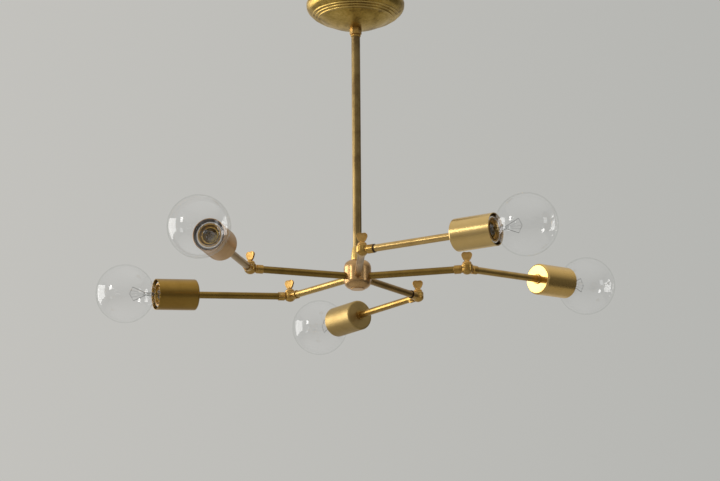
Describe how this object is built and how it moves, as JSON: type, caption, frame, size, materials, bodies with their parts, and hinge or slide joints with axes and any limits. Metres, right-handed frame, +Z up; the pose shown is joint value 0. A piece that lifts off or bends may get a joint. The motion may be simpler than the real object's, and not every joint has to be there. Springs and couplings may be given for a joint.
{
  "type": "sputnik chandelier",
  "caption": "Brass chandelier with a stepped canopy, straight stem and barrel hub; jointed arms with thumb-key swivels end in plain cups with clear globe bulbs.",
  "frame": {"origin": "centre of the canopy on the ceiling plane, midway between the crossbar slots", "axes": "+Z up into the ceiling, +X along the crossbar, -Y towards the side shown in the picture"},
  "size_m": [0.7115, 0.6852, 0.4399],
  "materials": {
    "canopy_brass": "aged, mottled brown and olive, spun sheet",
    "nut_brass": "turned, semi-polished",
    "stem_brass": "aged, blotched drawn tube",
    "collar_brass": "bright turned",
    "hub_brass": "rosy brown, semi-polished",
    "arm_brass": "aged drawn tube",
    "swivel_brass": "golden brown, turned",
    "key_brass": "matte pressed",
    "cup_brass": "satin, fine turned lines",
    "zinc_steel": "zinc plated",
    "ground_green": "green dyed screw",
    "porcelain": "white glazed",
    "lamp_base_brass": "rolled sheet screw shell",
    "clear_glass": "clear, thin blown",
    "lamp_mount_glass": "clear pressed stem with fine wires"
  },
  "bodies": {
    "root": {"canopy": "canopy_brass", "crossbar": "zinc_steel", "threaded_nipples": "zinc_steel", "lock_nuts": "zinc_steel", "ground_screw": "ground_green", "canopy_nut": "nut_brass", "stem": "stem_brass", "stem_collar": "collar_brass", "hub": "hub_brass", "hub_cap": "hub_brass", "inner_arm_1": "arm_brass", "knuckle_inner_1": "swivel_brass", "inner_arm_2": "arm_brass", "knuckle_inner_2": "swivel_brass", "inner_arm_3": "arm_brass", "knuckle_inner_3": "swivel_brass", "inner_arm_4": "arm_brass", "knuckle_inner_4": "swivel_brass", "inner_arm_5": "arm_brass", "knuckle_inner_5": "swivel_brass"},
    "arm_1": {"knuckle_outer_1": "swivel_brass", "outer_arm_1": "arm_brass", "cup_1": "cup_brass", "lampholder_1": "porcelain", "bulb_base_1": "lamp_base_brass", "bulb_glass_1": "clear_glass", "bulb_mount_1": "lamp_mount_glass"},
    "key_1": {"thumb_key_1": "key_brass"},
    "arm_2": {"knuckle_outer_2": "swivel_brass", "outer_arm_2": "arm_brass", "cup_2": "cup_brass", "lampholder_2": "porcelain", "bulb_base_2": "lamp_base_brass", "bulb_glass_2": "clear_glass", "bulb_mount_2": "lamp_mount_glass"},
    "key_2": {"thumb_key_2": "key_brass"},
    "arm_3": {"knuckle_outer_3": "swivel_brass", "outer_arm_3": "arm_brass", "cup_3": "cup_brass", "lampholder_3": "porcelain", "bulb_base_3": "lamp_base_brass", "bulb_glass_3": "clear_glass", "bulb_mount_3": "lamp_mount_glass"},
    "key_3": {"thumb_key_3": "key_brass"},
    "arm_4": {"knuckle_outer_4": "swivel_brass", "outer_arm_4": "arm_brass", "cup_4": "cup_brass", "lampholder_4": "porcelain", "bulb_base_4": "lamp_base_brass", "bulb_glass_4": "clear_glass", "bulb_mount_4": "lamp_mount_glass"},
    "key_4": {"thumb_key_4": "key_brass"},
    "arm_5": {"knuckle_outer_5": "swivel_brass", "outer_arm_5": "arm_brass", "cup_5": "cup_brass", "lampholder_5": "porcelain", "bulb_base_5": "lamp_base_brass", "bulb_glass_5": "clear_glass", "bulb_mount_5": "lamp_mount_glass"},
    "key_5": {"thumb_key_5": "key_brass"}
  },
  "joints": [
    {"name": "swivel_1", "type": "hinge", "parent": "root", "child": "arm_1", "pos_m": [0.01097, -0.1512, -0.38692], "axis": [-0.0139, -0.001, 0.9999], "range_deg": [-77.5, 37.5]},
    {"name": "key_turn_1", "type": "hinge", "parent": "root", "child": "key_1", "pos_m": [0.01097, -0.1512, -0.38692], "axis": [-0.0139, -0.001, 0.9999], "range_deg": [0, 180]},
    {"name": "swivel_2", "type": "hinge", "parent": "root", "child": "arm_2", "pos_m": [0.14719, -0.03629, -0.38692], "axis": [-0.0142, -0.0576, 0.9982], "range_deg": [-78.9, 36.1]},
    {"name": "key_turn_2", "type": "hinge", "parent": "root", "child": "key_2", "pos_m": [0.14719, -0.03629, -0.38692], "axis": [-0.0142, -0.0576, 0.9982], "range_deg": [0, 180]},
    {"name": "swivel_3", "type": "hinge", "parent": "root", "child": "arm_3", "pos_m": [0.08, 0.12877, -0.38692], "axis": [-0.0104, 0.0064, 0.9999], "range_deg": [-89.8, 25.2]},
    {"name": "key_turn_3", "type": "hinge", "parent": "root", "child": "key_3", "pos_m": [0.08, 0.12877, -0.38692], "axis": [-0.0104, 0.0064, 0.9999], "range_deg": [0, 180]},
    {"name": "swivel_4", "type": "hinge", "parent": "root", "child": "arm_4", "pos_m": [-0.09775, 0.11588, -0.38692], "axis": [-0.044, -0.0371, 0.9983], "range_deg": [-92.1, 22.9]},
    {"name": "key_turn_4", "type": "hinge", "parent": "root", "child": "key_4", "pos_m": [-0.09775, 0.11588, -0.38692], "axis": [-0.044, -0.0371, 0.9983], "range_deg": [0, 180]},
    {"name": "swivel_5", "type": "hinge", "parent": "root", "child": "arm_5", "pos_m": [-0.14041, -0.05716, -0.38692], "axis": [0, 0, 1], "range_deg": [-76.4, 38.6]},
    {"name": "key_turn_5", "type": "hinge", "parent": "root", "child": "key_5", "pos_m": [-0.14041, -0.05716, -0.38692], "axis": [0, 0, 1], "range_deg": [0, 180]}
  ]
}
